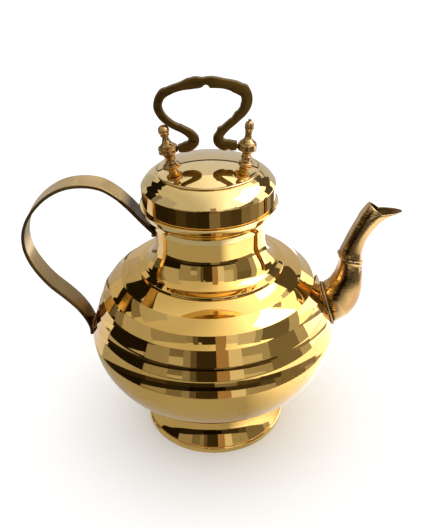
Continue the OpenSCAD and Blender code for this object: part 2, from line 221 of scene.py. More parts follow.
def turned(name, outline, body, material, corner=0.25, step=0.8, wobble=0.0):
    """A turned piece that stands for the CAD node of the same name."""
    profile = dense(rounded([vec(*p) for p in outline], corner), step)
    verts, faces = revolve(profile, wobble=wobble)
    piece = new_piece(name + "_turned", verts, faces, body, [name], material)
    mark_edges(piece)
    return piece


def loft(rings, closed=False):
    """Vertices and quads through rings of equal length. An open loft is capped."""
    n = len(rings[0])
    verts = [tuple(p) for ring in rings for p in ring]
    faces = []
    last = len(rings) if closed else len(rings) - 1
    for k in range(last):
        low, high = k * n, (k + 1) % len(rings) * n
        for i in range(n):
            j = (i + 1) % n
            faces.append((low + i, low + j, high + j, high + i))
    if not closed:
        faces.append(tuple(range(n)))
        faces.append(tuple(reversed(range((len(rings) - 1) * n, len(rings) * n))))
    return verts, faces


# ---- materials -------------------------------------------------------------


class Nodes:
    """A short way to write the node tree of a material, or of the world."""

    def __init__(self, owner):
        owner.use_nodes = True
        self.tree = owner.node_tree
        self.shader = self.tree.nodes.get("Principled BSDF")

    def add(self, kind, inputs=(), **settings):
        node = self.tree.nodes.new(kind)
        for key, value in settings.items():
            setattr(node, key, value)
        for key, value in dict(inputs).items():
            self.feed(node.inputs[key], value)
        return node

    def feed(self, socket, value):
        if isinstance(value, bpy.types.NodeSocket):
            self.tree.links.new(value, socket)
        else:
            socket.default_value = value

    def math(self, operation, a, b=0.0, c=0.0):
        return self.add("ShaderNodeMath", {0: a, 1: b, 2: c}, operation=operation).outputs[0]

    def clamped(self, value, low, high, to_low=0.0, to_high=1.0):
        spread = {"Value": value, "From Min": low, "From Max": high, "To Min": to_low, "To Max": to_high}
        return self.add("ShaderNodeMapRange", spread, clamp=True).outputs[0]

    def mix(self, share, a, b):
        node = self.add("ShaderNodeMix", data_type="RGBA")
        self.feed(node.inputs["Factor"], share)
        self.feed(node.inputs[6], a)
        self.feed(node.inputs[7], b)
        return node.outputs[2]

    def noise(self, vector, scale, detail=3.0, rough=0.55):
        texture = {"Vector": vector, "Scale": scale, "Detail": detail, "Roughness": rough}
        return self.add("ShaderNodeTexNoise", texture).outputs["Fac"]

    def attribute(self, name):
        return self.add("ShaderNodeAttribute", attribute_name=name).outputs["Fac"]


def colour(r, g, b):
    return (r, g, b, 1.0)


def brass(name, light, dark, dirt_and_shade, shine, scratch, ring=True, patches=0.5, grain=(60.0, 900.0, 240.0),
          filed=0.0):
    """Worn brass, with painted shade. light and dark are its two tints; the third tint is the colour of its
    stains, and also of the shade painted into its corners and of the shade and dark reflections
    painted where a piece stores them.

    shine is the roughness of clean metal, scratch the depth of its fine lines
    in metres. Turned pieces have their lines in rings round the Z axis, the
    others along the axes by the three scales of grain. filed is how much those
    lines break up the edge of the painted shade and stains.
    """
    material = bpy.data.materials.new(name)
    n = Nodes(material)
    place = n.add("ShaderNodeTexCoord").outputs["Object"]
    split = n.add("ShaderNodeSeparateXYZ", {0: place})
    x, y, z = split.outputs
    radius = n.math("SQRT", n.math("ADD", n.math("MULTIPLY", x, x), n.math("MULTIPLY", y, y)))
    if ring:
        safe = n.math("MAXIMUM", radius, 0.001)
        across = n.math("MULTIPLY_ADD", radius, 0.8, z)
        line_place = n.add("ShaderNodeCombineXYZ", {
            0: n.math("DIVIDE", x, safe), 1: n.math("DIVIDE", y, safe),
            2: n.math("MULTIPLY", across, 700.0)}).outputs[0]
        line_scale = 1.4
    else:
        line_place = n.add("ShaderNodeMapping", {"Vector": place, "Scale": grain}).outputs[0]
        line_scale = 1.0
    lines = n.noise(line_place, line_scale, detail=4.0, rough=0.6)
    cloud = n.noise(place, 28.0, detail=4.0)
    speckle = n.noise(place, 420.0, detail=2.0)
    wear = n.attribute("wear")
    dirt_and_crevice_shade = n.attribute("dirt_and_crevice_shade")
    # The stored darkness is painted shade and painted dark reflections as well as stains, with a little
    # random darkening added.
    tarnish_and_shade = n.clamped(n.math("ADD", n.attribute("tarnish_and_shade"), n.math("MULTIPLY_ADD", cloud, 0.3, -0.15)),
                        0.08, 1.0)

    tint = n.mix(n.clamped(cloud, 0.35, 0.68), light, dark)
    spots = n.clamped(n.math("MULTIPLY", cloud, speckle), 0.34, 0.46, 0.0, patches)
    tint = n.mix(spots, tint, dirt_and_shade)
    # Painted shade: corners and hollows darken towards the third tint, as shade falls there and dust gathers.
    tint = n.mix(n.clamped(dirt_and_crevice_shade, 0.05, 0.6, 0.0, 0.85), tint, dirt_and_shade)
    tint = n.mix(n.clamped(wear, 0.1, 0.8, 0.0, 0.6), tint, light)
    edge = n.math("MULTIPLY", tarnish_and_shade, n.math("SUBTRACT", 1.0, tarnish_and_shade))
    marks = n.math("MULTIPLY", edge, n.clamped(lines, 0.4, 0.62, -filed, filed))
    tint = n.mix(n.clamped(n.math("ADD", tarnish_and_shade, marks), 0.0, 1.0), tint, dirt_and_shade)
    n.feed(n.shader.inputs["Base Color"], tint)
    n.feed(n.shader.inputs["Metallic"], 1.0)

    rough = n.clamped(lines, 0.3, 0.75, shine * 0.75, shine * 1.5)
    rough = n.math("ADD", rough, n.clamped(cloud, 0.45, 0.75, 0.0, shine * 0.9))
    rough = n.math("ADD", rough, n.clamped(dirt_and_crevice_shade, 0.05, 0.7, 0.0, 0.35))
    n.feed(n.shader.inputs["Roughness"], rough)

    bump = n.add("ShaderNodeBump", {"Strength": 1.0, "Distance": scratch, "Height": lines})
    n.feed(n.shader.inputs["Normal"], bump.outputs[0])
    return material


GOLD = colour(0.88, 0.57, 0.165)
DEEP_GOLD = colour(0.83, 0.51, 0.135)
# The next two colours are those of stains, and also of the shade and dark reflections painted with them.
COPPER_BROWN = colour(0.2, 0.1, 0.03)
SOOT_AND_SHADE = colour(0.06, 0.03, 0.008)

polished = brass("polished_brass", GOLD, DEEP_GOLD, COPPER_BROWN, 0.026, 0.0000016, patches=0.25)
# A paler copy of the polished brass for the lid and the mouth rim: painted light, so their reflections look
# paler and less orange.
pale = brass("pale_lit_brass", colour(0.88, 0.66, 0.29), colour(0.85, 0.61, 0.24), COPPER_BROWN,
             0.026, 0.0000016, patches=0.2)
satin = brass("satin_brass", colour(0.80, 0.54, 0.2), colour(0.68, 0.44, 0.15), SOOT_AND_SHADE,
              0.2, 0.000004, ring=False)
cast = brass("cast_brass", colour(0.62, 0.4, 0.15), colour(0.4, 0.23, 0.075), SOOT_AND_SHADE,
             0.13, 0.00003, ring=False, grain=(220.0, 300.0, 1300.0), filed=2.5)
aged = brass("aged_brass", colour(0.62, 0.4, 0.15), colour(0.34, 0.19, 0.06), SOOT_AND_SHADE,
             0.12, 0.00002, ring=False)
patina = brass("dark_brass", colour(0.17, 0.1, 0.022), colour(0.1, 0.055, 0.012), colour(0.02, 0.01, 0.003),
               0.32, 0.00004, ring=False)
filler = brass("solder", colour(0.5, 0.38, 0.2), colour(0.26, 0.18, 0.08), colour(0.06, 0.035, 0.012),
               0.35, 0.00003, ring=False)


# ---- pot -------------------------------------------------------------------

BELLY_R = 87.5
SEAM_Z = 83.8
SHEET = 1.2
BOWL_FLAT_R = 20
BOWL_DROP = 57
BOWL_BOTTOM_Z = SEAM_Z - BOWL_DROP
BAND_EDGES = [
    (BELLY_R, SEAM_Z), (84.2, 95.4), (81.3, 104), (77.4, 114), (72.1, 121.2), (63.4, 128.1), (51, 133),
]
NECK_HOLE = (40, 137.35)
BAND_HOLLOW = 0.35
NECK_R = 37.6
NECK_INNER_R = NECK_R - SHEET
MOUTH_Z = 180.8
FOOT_R = 52.8


def bowl_z(r):
    return SEAM_Z - BOWL_DROP * math.sqrt(1 - ((r - BOWL_FLAT_R) / (BELLY_R - BOWL_FLAT_R)) ** 2)


def belly_radius(z):
    """Outer radius of the belly at height z, along the chords of its bands."""
    if z <= SEAM_Z:
        return BOWL_FLAT_R + (BELLY_R - BOWL_FLAT_R) * math.sqrt(1 - ((SEAM_Z - z) / BOWL_DROP) ** 2)
    radii, heights = zip(*BAND_EDGES)
    return float(np.interp(z, heights, radii))


def hollow_band(p, q, n=14):
    """Points of the hollow band from p to q, without p."""
    p, q = vec(*p), vec(*q)
    steps = np.linspace(0, 1, n + 1)[1:]
    return [p + (q - p) * k - 4 * BAND_HOLLOW * k * (1 - k) * right_of(p, q) for k in steps]


def make_foot():
    top_r, wall, rest_w, lip_h = 42, 1.6, 4, 4.4
    flare = smooth_path([(FOOT_R - 1.5, lip_h), (48.6, 9), (46, 14.5), (43.8, 20.5), (42.2, 26)], 6)
    turned("foot_ring", [
        (FOOT_R - rest_w, 0), (FOOT_R, 0), (FOOT_R, lip_h - 0.8), (FOOT_R - 0.8, lip_h),
    ] + flare + [(top_r, bowl_z(top_r)), (top_r - wall, bowl_z(top_r - wall)), (top_r - wall, 26)]
        + moved(flare, -wall)[::-1] + [(FOOT_R - rest_w, lip_h)],
        "pot", polished, wobble=0.03)


def make_lower_bowl():
    wall = arc((BOWL_FLAT_R, SEAM_Z), BELLY_R - BOWL_FLAT_R, BOWL_DROP, -90, 0, 90)
    outside = [vec(0, BOWL_BOTTOM_Z)] + wall
    inside = [vec(0, BOWL_BOTTOM_Z + SHEET)] + moved(outside, -SHEET) + [vec(BELLY_R - SHEET, SEAM_Z)]
    turned("lower_bowl", outside + inside[::-1], "pot", polished, corner=0.2, step=1.4,
           wobble=0.05)


def make_upper_bowl():
    outside = [vec(*BAND_EDGES[0])]
    for p, q in zip(BAND_EDGES, BAND_EDGES[1:]):
        outside += hollow_band(p, q)
    outside.append(vec(*NECK_HOLE))
    low = vec(*BAND_EDGES[-1])
    inside = [vec(BELLY_R - SHEET, SEAM_Z)] + moved(outside, -SHEET)
    inside.append(vec(*NECK_HOLE) - SHEET * right_of(low, vec(*NECK_HOLE)))
    turned("upper_bowl", outside + inside[::-1], "pot", polished, corner=0.2, wobble=0.05)


def make_neck():
    start_z, flare_a, flare_b = 155, 12, 19
    flare = arc((NECK_R + flare_a, start_z), flare_a, flare_b, 262, 180, 40)
    outside = [vec(51, 133), vec(50.8, 135.4)] + flare + [vec(NECK_R, MOUTH_Z)]
    inner = [p for p in moved(outside, -SHEET) if p[1] > NECK_HOLE[1] + 1]
    inside = [vec(*NECK_HOLE)] + inner + [vec(NECK_INNER_R, MOUTH_Z)]
    turned("neck", outside + inside[::-1], "pot", polished, corner=0.3, wobble=0.03)


def make_mouth_rim():
    low, cove_z, step_r, rim_r = MOUTH_Z - 4.3, 167, NECK_R + 1.1, 46.2
    edge_r = rim_r - 1.3
    cove = arc((edge_r, cove_z), edge_r - step_r, low - cove_z, 180, 90, 16)
    turned("mouth_rim", [(NECK_R, cove_z - 1.4), (step_r, cove_z - 0.6)] + cove + [
        (rim_r, MOUTH_Z - 0.5), (rim_r - 0.4, MOUTH_Z), (NECK_R, MOUTH_Z),
    ], "pot", pale, corner=0.2, wobble=0.02)


# ---- side handle -----------------------------------------------------------

STRAP_ROUTE = [
    (-36.6, 160), (-40.8, 164.6), (-46.3, 171.3), (-53.5, 180.4), (-61, 188.2), (-70.2, 194.2),
    (-81.5, 196.4), (-93.3, 195.2), (-104.1, 190.4), (-113.5, 182.7), (-120.9, 173.1), (-125.2, 162.3),
    (-125.9, 151.5), (-123.6, 141.2), (-118.8, 130.9), (-112.2, 121), (-103.6, 111.5), (-96, 102),
    (-91, 92.6), (-88.8, 85.4), (-88.8, 79.4),
]
STRAP_W, STRAP_T = 18, 2


def strap_section(width, thick, edge):
    """A flat strap's cross-section as (across, through) with round edges."""
    half_w, half_t = width / 2, thick / 2
    corners = [vec(half_w, half_t), vec(-half_w, half_t), vec(-half_w, -half_t), vec(half_w, -half_t)]
    return dense(rounded(corners, edge, 4), 1.5)


# Painted shade on the strap near the neck and the belly, and a painted dark reflection on its inside,
# counted in steps of its route: where each ends, or starts on the inside, and over how many steps it fades.
NECK_SHADE_END, NECK_SHADE_FADE = 30, 7
BELLY_SHADE_END, BELLY_SHADE_FADE = 24, 14
INSIDE_REFLECTION_START, INSIDE_REFLECTION_FADE = 90, 40
STRAP_DARK_EDGE = 0.5


def make_side_handle():
    middle = smooth_path(STRAP_ROUTE, 8)
    section = strap_section(STRAP_W, STRAP_T, 0.8)
    rings = []
    for i, p in enumerate(middle):
        q, r = middle[max(i - 1, 0)], middle[min(i + 1, len(middle) - 1)]
        out = right_of(q, r)
        ring = []
        for across, through in section:
            crown = 0.15 * (1 - (2 * across / STRAP_W) ** 2)
            side = p + out * (through - crown)
            ring.append((side[0], across, side[1]))
        rings.append(ring)
    verts, faces = loft(rings)
    strap = new_piece("side_handle_strap", verts, faces, "pot", ["side_handle"], satin)
    mark_edges(strap)
    route = np.array(middle)
    ahead = np.gradient(route, axis=0)

    def painted_darkness(point):
        """Painted shade near the pot and along the edges, and a painted dark reflection on the inside; the
        outside is left clean.
        """
        i = int(np.argmin(np.hypot(route[:, 0] - point.x, route[:, 1] - point.z)))
        through = np.dot(vec(point.x, point.z) - route[i], right_of(vec(0, 0), ahead[i]))
        to_end = len(route) - 1 - i
        edge = max(0, (abs(point.y) - STRAP_W / 2 + STRAP_DARK_EDGE) / STRAP_DARK_EDGE)
        near_neck = min(1, max(0, (NECK_SHADE_END - i) / NECK_SHADE_FADE))
        near_belly = min(1, max(0, (BELLY_SHADE_END - to_end) / BELLY_SHADE_FADE))
        far_inside = min(1, max(0, (i - INSIDE_REFLECTION_START) / INSIDE_REFLECTION_FADE))
        inner = 0.35 + 0.35 * far_inside if through < -0.6 else 0
        return min(1, max(0.9 * edge, inner) + near_neck + 0.7 * near_belly)

    store_shade_and_stains(strap, painted_darkness)


# ---- spout -----------------------------------------------------------------

# [x, z, half depth, half width, direction of the front in degrees]
ROOT_STATIONS = [
    (85.5, 95.4, 15.6, 12.6, -72), (92.5, 100, 14.6, 12.3, -58), (96.9, 108, 13.8, 11.8, -50),
    (98.9, 117, 12, 10.8, -41), (99, 125.4, 9.8, 9.6, -30), (98.3, 130.4, 8.7, 8.7, -22),
]
KNUCKLE = [(98.25, 130.8, 8.9, 8.8, -21), (98.1, 131.6, 9.4, 9.2, -20), (98, 133.2, 9.3, 9.1, -16),
           (98, 134, 8.7, 8.7, -15)]
BEAK_STATIONS = [
    (98, 134, 8.1, 8.1, -15), (98.8, 139.5, 7.3, 7.3, -8), (101.5, 148.4, 6.5, 6.9, -10),
    (105.7, 156.9, 6.7, 6.9, -17), (109.5, 163.2, 7.6, 7, -22),
]
SPOUT_SIDES = 96
SPOUT_WALL = 1.8
SPOUT_BASE_Z, SPOUT_BASE_H, SPOUT_BASE_W = 94.6, 15.8, 12.5
BEAK_NOTCH, BEAK_TIP_X, BEAK_APEX = (115.5, 168), 130.6, (107.3, 174)
BORE_R = 6.3


def signed_power(v, p):
    return math.copysign(abs(v) ** p, v)


def spout_ring(station, wall=0.0, back=0.55, front=0.95):
    """A cross-section, round in front and flat at the back. Angle 0 is the front."""
    x, z, half_depth, half_width, lean = station
    lean = math.radians(lean)
    ring = []
    for i in range(SPOUT_SIDES):
        t = 2 * math.pi * i / SPOUT_SIDES
        c, s = math.cos(t), math.sin(t)
        square = front if c > 0 else back + (front - back) * (1 + c) ** 2
        u = (half_depth - wall) * signed_power(c, square)
        v = (half_width - wall) * signed_power(s, square)
        ring.append(vec(x + u * math.cos(lean), v, z + u * math.sin(lean)))
    return ring


def base_ring(wall=0.0, lift=0.05):
    """The ring where the spout lies on the belly."""
    ring = []
    for i in range(SPOUT_SIDES):
        t = 2 * math.pi * i / SPOUT_SIDES
        z = SPOUT_BASE_Z - (SPOUT_BASE_H - wall) * math.cos(t)
        y = (SPOUT_BASE_W - wall) * math.sin(t)
        ring.append(vec(math.sqrt((belly_radius(z) + lift) ** 2 - y * y), y, z))
    return ring


def lip_ring(wall=0.0, drop=0.0):
    """The beak's lip: level from the notch to the tip, rising to the apex."""
    half_width = BEAK_STATIONS[-1][3] - wall
    ring = []
    for i in range(SPOUT_SIDES):
        t = 2 * math.pi * i / SPOUT_SIDES
        c, s = math.cos(t), math.sin(t)
        if c > 0:
            reach, rise = (BEAK_TIP_X - BEAK_NOTCH[0] - wall) * c ** 1.3, 0
        else:
            reach, rise = (BEAK_NOTCH[0] - BEAK_APEX[0] - wall) * c, (BEAK_APEX[1] - BEAK_NOTCH[1]) * -c
        v = half_width * signed_power(s, 0.95 if c > 0 else 0.6)
        ring.append(vec(BEAK_NOTCH[0] + reach, v, BEAK_NOTCH[1] + rise - drop))
    return ring


def bend(first, last, lead, n):
    """n rings from first (left out) to last (left out), leaving first along lead."""
    rings = []
    for k in np.linspace(0, 1, n + 2)[1:-1]:
        rings.append([(1 - k) ** 2 * a + 2 * k * (1 - k) * (a + lead) + k * k * b
                      for a, b in zip(first, last)])
    return rings


# Dark patches painted on the spout's sides, mostly painted dark reflections and partly stains: [x, z, reach
# along, reach across, lean in degrees, strength].
SPOUT_REFLECTIONS_AND_STAINS = [
    (91.5, 117, 9, 3.2, 55, 1.0), (85.5, 101, 15, 2, 70, 1.0), (95, 124, 6, 4, 50, 0.6),
    (97.5, 152, 12, 3.6, 68, 1.0), (102, 163, 10, 4, 60, 0.95), (94, 142, 7, 3.4, 84, 0.9),
    (95, 133.5, 6, 2.4, 10, 0.8), (109, 168, 8, 2.4, 25, 0.6),
]
BOSS = (95.4, 136, 2.8, 1.1)


def spout_reflections_and_stains(point):
    """Painted dark reflections and stains on the spout's flat sides, none on its front and back."""
    total = 0.0
    for x, z, along, across, lean, strength in SPOUT_REFLECTIONS_AND_STAINS:
        lean = math.radians(lean)
        dx, dz = point.x - x, point.z - z
        u = (dx * math.cos(lean) + dz * math.sin(lean)) / along
        v = (dz * math.cos(lean) - dx * math.sin(lean)) / across
        total = max(total, strength * math.exp(-(u ** 4 + v * v)))
    side = min(1, max(0, (abs(point.y) - 1.5) / 3))
    return min(1, total * side)


def with_boss(rings):
    """A small cast boss on each side of the spout above its knuckle."""
    x, z, reach, rise = BOSS
    for ring in rings:
        for p in ring:
            near = max(0, 1 - np.hypot(p[0] - x, p[2] - z) / reach)
            if abs(p[1]) > 4:
                p[1] += math.copysign(rise * near * (2 - near), p[1])
    return rings


def make_spout_root():
    steps = 10
    curve = smooth_path(ROOT_STATIONS, steps)[steps - 2:]
    outer = [base_ring()] + [spout_ring(s, 0, 0.62) for s in curve] + [spout_ring(s, 0, 0.7) for s in KNUCKLE]
    top = KNUCKLE[-1]
    inner = [base_ring(SPOUT_WALL)] + [spout_ring(s, SPOUT_WALL, 0.62) for s in curve]
    inner += [spout_ring((top[0], top[1] - h, BORE_R, BORE_R, top[4])) for h in (2.6, 0)]
    verts, faces = loft(outer + inner[::-1], closed=True)
    root = new_piece("spout_root_casting", verts, faces, "pot", ["spout_root"], cast)
    mark_edges(root)
    store_shade_and_stains(root, spout_reflections_and_stains)


def make_spout_beak():
    curve = smooth_path(BEAK_STATIONS, 14)
    outer = with_boss([spout_ring(s) for s in curve])
    inner = [spout_ring(s, SPOUT_WALL - 0.2) for s in curve]
    lead = vec(1.2, 0, 2.4)
    outer += bend(outer[-1], lip_ring(), lead, 6) + [lip_ring(0.15, 0.1), lip_ring(0.6, -0.1)]
    inner += bend(inner[-1], lip_ring(1.4), lead, 6) + [lip_ring(1.15, 0.05)]
    verts, faces = loft(outer + inner[::-1], closed=True)
    beak = new_piece("spout_beak_casting", verts, faces, "pot", ["spout_beak"], cast)
    mark_edges(beak)

    inside = {tuple(round(float(c), 2) for c in p) for ring in inner for p in ring}

    def painted_darkness(point):
        """Painted shade: the beak is black inside."""
        return 1.0 if tuple(round(c, 2) for c in point) in inside else spout_reflections_and_stains(point)

    store_shade_and_stains(beak, painted_darkness)


# ---- lid -------------------------------------------------------------------

LID_R = 44.2
LID_Z = MOUTH_Z + 0.2
LID_BAND_TOP = LID_Z + 12.3
LID_TOP = LID_BAND_TOP + 9.1
DOME_EDGE_R, DOME_A, DOME_H = LID_R + 0.3, 11.4, 9.1
DISC_R, DISC_T = 34, 1
CROWN_R, CROWN_H = DOME_EDGE_R - DOME_A, 4.4
CROWN_BALL_R = (CROWN_R ** 2 + CROWN_H ** 2) / (2 * CROWN_H)
FIT = 0.05
# The dome's shoulder is a round arc that runs smoothly into the crown. Its
# ends are given by the direction of the surface there, in degrees.
DOME_END = math.degrees(math.acos(CROWN_R / CROWN_BALL_R))
DOME_START = 2 * math.degrees(math.atan2(DOME_A, DOME_H)) - DOME_END
DOME_ARC_R = math.hypot(DOME_A, DOME_H) / (2 * math.sin(math.radians((DOME_END - DOME_START) / 2)))


def crown_z(r):
    """Height of the dome's crowned middle at radius r."""
    return LID_TOP + CROWN_H - CROWN_BALL_R + math.sqrt(CROWN_BALL_R ** 2 - r * r)


def crown(lift=0.0, n=24):
    """Points of the crown from its edge to the axis."""
    return [vec(r, crown_z(r) + lift) for r in np.linspace(CROWN_R, 0, n + 1)]


def crown_slope(x):
    return math.degrees(math.asin(x / CROWN_BALL_R))


def make_lid():
    collar_r = NECK_INNER_R - 0.5
    flange_r = LID_R - SHEET - FIT
    turned("lid_collar", [
        (collar_r - SHEET, LID_Z - 16), (collar_r, LID_Z - 16), (collar_r, LID_Z), (flange_r, LID_Z),
        (flange_r, LID_Z + SHEET), (collar_r - SHEET, LID_Z + SHEET),
    ], "lid", polished)
    turned("lid_band", [
        (LID_R - SHEET, LID_Z), (LID_R, LID_Z), (LID_R, LID_BAND_TOP), (LID_R - SHEET, LID_BAND_TOP),
    ], "lid", polished, wobble=0.03)
    start = math.radians(DOME_START)
    centre = (DOME_EDGE_R - DOME_ARC_R * math.cos(start), LID_BAND_TOP - DOME_ARC_R * math.sin(start))
    outside = arc(centre, DOME_ARC_R, DOME_ARC_R, DOME_START, DOME_END, 30)[:-1] + crown()
    inside = [vec(DOME_EDGE_R - SHEET, LID_BAND_TOP)] + moved(outside, -SHEET) + [vec(0, crown_z(0) - SHEET)]
    turned("lid_dome", outside + inside[::-1], "lid", pale, corner=0.3, wobble=0.03)
    edge_top = LID_TOP + DISC_T
    rim = [vec(DISC_R, LID_TOP), vec(DISC_R, edge_top - 0.3), vec(DISC_R - 0.3, edge_top)]
    turned("lid_disc", rim + crown(DISC_T) + crown(FIT)[::-1], "lid", pale, corner=0.3)


# ---- posts -----------------------------------------------------------------

HINGE_Z = 217.3
LEFT_POST_X, LEFT_LEAN = -23.2, -9
RIGHT_POST_X, RIGHT_LEAN = 24.6, 5.5
PIN_R, PIN_HOLE_R = 1.5, 1.58
WASHER_R, WASHER_T, WASHER_HOLE_R = 4, 1.1, 2
RIVET_R, RIVET_HEAD_R, RIVET_HEAD_T = 1.5, 2.6, 1
WASHER_DEPTH = DISC_T + SHEET + 2 * FIT + WASHER_T
POST_SIDES = 96


def on_crown(x, lean, verts, depth=0.0):
    """Stands vertices on the lid's top at x on an axis that leans towards +X."""
    lean = math.radians(lean)
    c, s = math.cos(lean), math.sin(lean)
    base = crown_z(x) + DISC_T
    return [(x + px * c + (pz - depth) * s, py, base - px * s + (pz - depth) * c) for px, py, pz in verts]


def on_lid_surface(x, lean, px, py):
    """Height on a leaning post's axis at which the point (px, py) meets the lid's top."""
    lean = math.radians(lean)
    c, s = math.cos(lean), math.sin(lean)
    centre_z = crown_z(0) - CROWN_BALL_R
    foot = vec(x + px * c, py, crown_z(x) + DISC_T - px * s - centre_z)
    along = np.dot(foot, vec(s, 0, c))
    return -along + math.sqrt(along ** 2 - np.dot(foot, foot) + (CROWN_BALL_R + DISC_T + FIT) ** 2)


def join(parts):
    """One list of vertices and faces from several."""
    verts, faces = [], []
    for part_verts, part_faces in parts:
        faces += [tuple(i + len(verts) for i in f) for f in part_faces]
        verts += part_verts
    return verts, faces


def cut_pin_hole(piece, x):
    """Drills the pin's hole through a post along X."""
    outline = [vec(0, x - 20), vec(PIN_HOLE_R, x - 20), vec(PIN_HOLE_R, x + 20), vec(0, x + 20)]
    verts, faces = revolve(outline, 48)
    mesh = bpy.data.meshes.new("drill")
    mesh.from_pydata([(pz * MM, py * MM, (HINGE_Z + px) * MM) for px, py, pz in verts], [], faces)
    drill = bpy.data.objects.new("drill", mesh)
    bm = bmesh.new()
    bm.from_mesh(mesh)
    bmesh.ops.recalc_face_normals(bm, faces=bm.faces)
    bm.to_mesh(mesh)
    bm.free()
    bpy.context.scene.collection.objects.link(drill)
    cut = piece.modifiers.new("pin_hole", "BOOLEAN")
    cut.operation, cut.solver, cut.object = "DIFFERENCE", "EXACT", drill
    shape = piece.evaluated_get(bpy.context.evaluated_depsgraph_get())
    result = bpy.data.meshes.new_from_object(shape)
    piece.modifiers.remove(cut)
    piece.data = result
    bpy.data.objects.remove(drill)


def make_post(node, x, lean, outline, flutes=(0, 0, 0)):
    """A turned post with a riveted tail. flutes is [count, depth, from height]."""
    profile = dense(rounded([vec(*p) for p in outline], 0.25), 0.35)
    foot_r = outline[1][0]
    profile = [vec(0, -2), vec(foot_r / 2, -2), vec(foot_r, -2)] + [p for p in profile if p[1] > 0.3]
    verts, faces = revolve(profile, POST_SIDES)
    count, depth, start = flutes
    shaped = []
    for px, py, pz in verts:
        if pz < -1:
            pz = on_lid_surface(x, lean, px, py)
        if count and pz > start:
            ease = min(1, (pz - start) / 0.8)
            turn = math.atan2(py, px)
            shrink = 1 - depth * ease * (0.5 - 0.5 * math.cos(count * turn)) ** 2
            px, py = px * shrink, py * shrink
        shaped.append((px, py, pz))
    head_depth = WASHER_DEPTH + FIT + RIVET_HEAD_T
    tail_end = head_depth + 0.8
    tail = revolve([vec(0, 0.5), vec(0, tail_end), vec(RIVET_R, tail_end), vec(RIVET_R, 0.5)], 40)
    head = revolve([vec(*p) for p in (
        (0, 0), (RIVET_HEAD_R - 0.8, 0), (RIVET_HEAD_R - 0.2, 0.35), (RIVET_HEAD_R, RIVET_HEAD_T),
        (0, RIVET_HEAD_T))], 40)
    verts, faces = join([
        (on_crown(x, lean, shaped), faces),
        (on_crown(x, lean, tail[0], head_depth), tail[1]),
        (on_crown(x, math.copysign(crown_slope(abs(x)), x), head[0], head_depth), head[1]),
    ])
    piece = new_piece(node + "_turned", verts, faces, "lid", [node], aged)
    cut_pin_hole(piece, x)
    mark_edges(piece, 1)


def make_left_post():
    h = HINGE_Z - crown_z(LEFT_POST_X) - DISC_T
    ball = (0, h + 12.3)
    make_post("left_post", LEFT_POST_X, LEFT_LEAN, [
        (0, -2), (6, -2), (6, 0.7), (5.2, 1.2), (5.2, 1.6), (4.2, 2.1), (3.6, 2.6), (3.3, 4.4), (3.5, 7),
        (4.4, h - 3.6), (4.9, h - 3.1), (4.6, h - 2.8), (6.3, h - 2.3), (6.4, h - 1.6), (6.1, h - 0.6),
        (6.1, h), (6.4, h + 0.8), (6.3, h + 1.5), (4.8, h + 2), (4.9, h + 2.6), (3.2, h + 4), (2.3, h + 6.4),
        (2.1, h + 8.2), (3, h + 9.1), (3, h + 9.4), (2.5, h + 9.6),
    ] + arc(ball, 3.7, 3.7, -42, 8, 5) + [vec(3.4, h + 13.1)] + arc(ball, 3.7, 3.7, 18, 90, 10))


def make_right_post():
    h = HINGE_Z - crown_z(RIGHT_POST_X) - DISC_T
    bud = h + 12.9
    make_post("right_post", RIGHT_POST_X, RIGHT_LEAN, [
        (0, -2), (4.9, -2), (4.9, 0.8), (4.3, 1.4), (4.3, 1.8), (3.2, 2.4), (2.7, 3.6), (3.4, 4.4),
        (3.4, 5.2),
        (2.7, 6), (2.9, 7.4), (4.4, h - 3), (4.1, h - 2.8), (6, h - 2.3), (6.1, h - 1.6), (6.1, h + 1.4),
        (5.8, h + 2), (5.1, h + 2.3), (5.3, h + 2.9), (3.8, h + 4), (2.7, h + 5.2), (2.2, h + 6.6),
        (2.2, h + 8.6), (2.3, h + 9.6),
    ] + arc((0, bud), 3.1, 4, -36, 78, 14) + [
        (0.7, bud + 4), (1.2, bud + 4.3), (1.1, bud + 4.8), (0, bud + 5),
    ], flutes=(7, 0.14, h + 9))


def make_post_washers():
    parts = []
    for x in (LEFT_POST_X, RIGHT_POST_X):
        outline = rounded([vec(*p) for p in (
            (WASHER_HOLE_R, 0), (WASHER_R, 0), (WASHER_R, WASHER_T), (WASHER_HOLE_R, WASHER_T))], 0.2)
        verts, faces = revolve(outline, 64)
        slope = math.copysign(crown_slope(abs(x)), x)
        parts.append((on_crown(x, slope, verts, WASHER_DEPTH), faces))
    verts, faces = join(parts)
    mark_edges(new_piece("post_washers_turned", verts, faces, "lid", ["post_washers"], aged))


# ---- bail ------------------------------------------------------------------

BAIL_T = 4.2
BAIL_LEFT_X, BAIL_RIGHT_X = -18.2, 18.9
PIN_REACH = 12.8
# Centreline from the left pin to the right pin: [x, z, width].
BAIL_ROUTE = [
    (BAIL_LEFT_X, 217.3, 4.4), (-15, 217.7, 5.6), (-11, 218.8, 6.4), (-8.1, 222.2, 6.8), (-10, 226.3, 5.4),
    (-15, 229.8, 4.4), (-21.2, 233, 4.2), (-27, 238.3, 4.8), (-29.6, 244.9, 5.4), (-27.3, 251.3, 5.4),
    (-21.8, 254.6, 4.8), (-15.4, 256.7, 4.8), (-8.5, 258.4, 6.6), (-4, 259, 6.8), (0.4, 259.4, 5.4),
    (5, 258.8, 6.6), (12, 257.6, 5.8), (19, 255.4, 6.8), (24.4, 251.6, 7.2), (25.5, 246.3, 6.6),
    (23.3, 240.8, 5.8), (18.3, 235.5, 5), (12.2, 230.1, 4.8), (8.2, 225.8, 5.6), (7.3, 222, 6.6),
    (10.4, 219, 6.8), (14.6, 218.4, 6.4), (BAIL_RIGHT_X, 217.9, 5.4),
]
